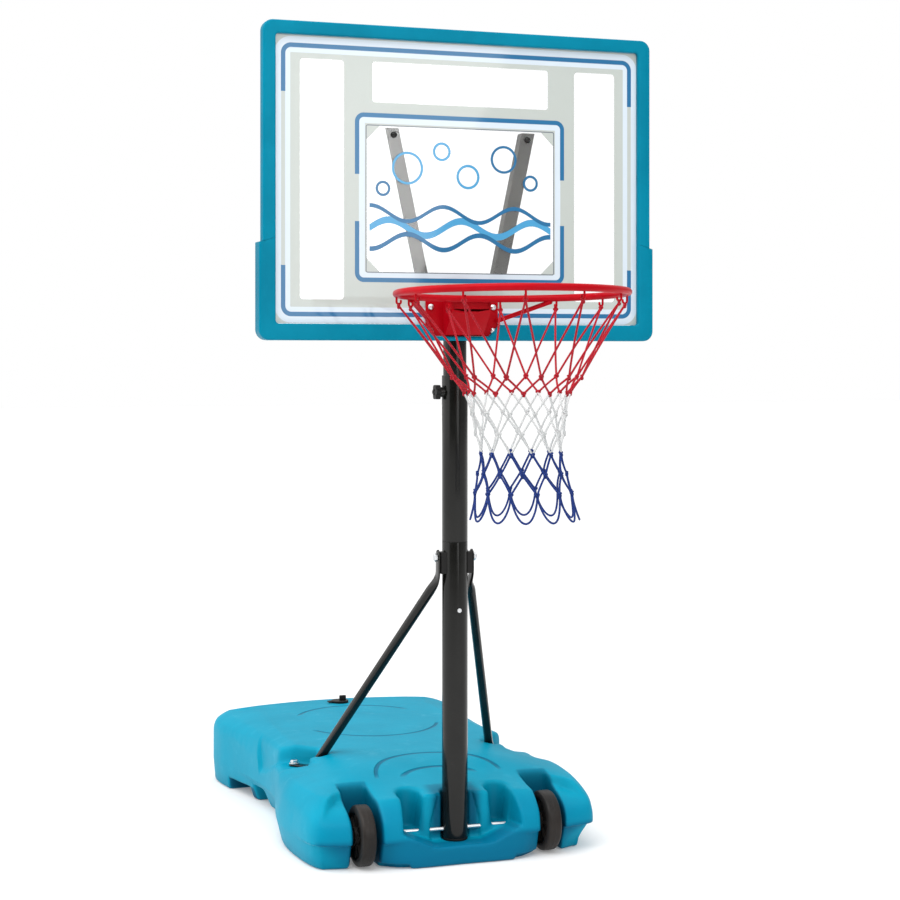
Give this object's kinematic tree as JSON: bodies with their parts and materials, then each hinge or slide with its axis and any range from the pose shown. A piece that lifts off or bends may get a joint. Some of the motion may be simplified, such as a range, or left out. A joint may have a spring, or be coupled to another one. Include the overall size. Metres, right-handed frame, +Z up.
{
  "type": "portable poolside basketball hoop",
  "caption": "Poolside basketball hoop: ballast base with wheels, braced telescoping pole, clear framed backboard, steel rim and cord net.",
  "frame": {"origin": "point on the floor under the pole's axis, on the base's flat underside", "axes": "+Z up along the pole, -Y out of the backboard's face to the rim, +X to the player's right when facing the board"},
  "size_m": [0.72, 1.2766, 1.436],
  "materials": {
    "base_plastic": "teal blue, lightly grained moulded plastic",
    "frame_plastic": "darker teal, satin",
    "black_plastic": "black",
    "seal_rubber": "black",
    "black_steel": "black powder coat",
    "grey_steel": "grey powder coat",
    "red_steel": "red powder coat",
    "zinc_steel": "bright zinc plate",
    "clear_sheet": "clear sheet with printed frost, blue stripes and a plain print",
    "red_cord": "braided cord",
    "white_cord": "braided cord",
    "blue_cord": "braided cord"
  },
  "bodies": {
    "base": {"base_tank": "base_plastic", "wheel_spacer_inner_left": "black_plastic", "wheel_spacer_inner_right": "black_plastic", "wheel_spacer_outer_left": "black_plastic", "wheel_spacer_outer_right": "black_plastic", "strut_saddle_left": "black_plastic", "strut_saddle_right": "black_plastic", "pole_foot": "black_plastic", "cap_seal": "seal_rubber", "strut_left": "black_steel", "strut_right": "black_steel", "pole_lower": "black_steel", "pole_middle": "black_steel", "knob_boss": "black_steel", "axle_rod": "zinc_steel", "strut_foot_bolt_left": "zinc_steel", "strut_foot_bolt_right": "zinc_steel", "strut_foot_washer_left": "zinc_steel", "strut_foot_washer_right": "zinc_steel", "strut_foot_insert_left": "zinc_steel", "strut_foot_insert_right": "zinc_steel", "strut_top_bolt": "zinc_steel", "strut_top_nut": "zinc_steel"},
    "head": {"pole_upper": "black_steel", "pole_cap": "black_plastic", "head_bracket": "grey_steel", "head_bolt_lower": "zinc_steel", "head_bolt_upper": "zinc_steel", "head_nut_lower": "zinc_steel", "head_nut_upper": "zinc_steel", "bar_left": "grey_steel", "bar_right": "grey_steel", "bar_bolt_1": "black_steel", "bar_bolt_2": "black_steel", "bar_nut_1": "zinc_steel", "bar_nut_2": "zinc_steel", "backboard_panel": "clear_sheet", "backboard_frame": "frame_plastic", "rim_bracket": "red_steel", "rim_ring": "red_steel", "rim_brace_left": "red_steel", "rim_brace_right": "red_steel", "rim_bolt_1": "zinc_steel", "rim_bolt_2": "zinc_steel", "rim_bolt_3": "zinc_steel", "rim_bolt_4": "zinc_steel", "rim_nut_1": "zinc_steel", "rim_nut_2": "zinc_steel", "rim_nut_3": "zinc_steel", "rim_nut_4": "zinc_steel", "net_upper": "red_cord", "net_middle": "white_cord", "net_lower": "blue_cord"},
    "wheel_left": {"wheel_left": "black_plastic"},
    "wheel_right": {"wheel_right": "black_plastic"},
    "height_knob": {"height_knob": "black_plastic"},
    "fill_cap": {"fill_cap": "black_plastic"},
    "snap_button": {"snap_button": "zinc_steel"}
  },
  "joints": [
    {"name": "pole_height", "type": "slide", "parent": "base", "child": "head", "axis": [0, 0, 1], "range_m": [-0.09, 0.11]},
    {"name": "wheel_left_spin", "type": "hinge", "parent": "base", "child": "wheel_left", "pos_m": [-0.1695, 0, 0.053], "axis": [1, 0, 0], "continuous": true},
    {"name": "wheel_right_spin", "type": "hinge", "parent": "base", "child": "wheel_right", "pos_m": [0.1695, 0, 0.053], "axis": [1, 0, 0], "continuous": true},
    {"name": "height_knob_turn", "type": "hinge", "parent": "base", "child": "height_knob", "pos_m": [-0.03, 0, 0.812], "axis": [-1, 0, 0], "range_deg": [0, 720]},
    {"name": "fill_cap_lift", "type": "slide", "parent": "base", "child": "fill_cap", "axis": [0, 0, 1], "range_m": [0, 0.06]},
    {"name": "snap_button_press", "type": "slide", "parent": "base", "child": "snap_button", "axis": [0, 1, 0], "range_m": [0, 0.0025], "stiffness_N_per_m": 1500, "springref_m": -0.001}
  ]
}
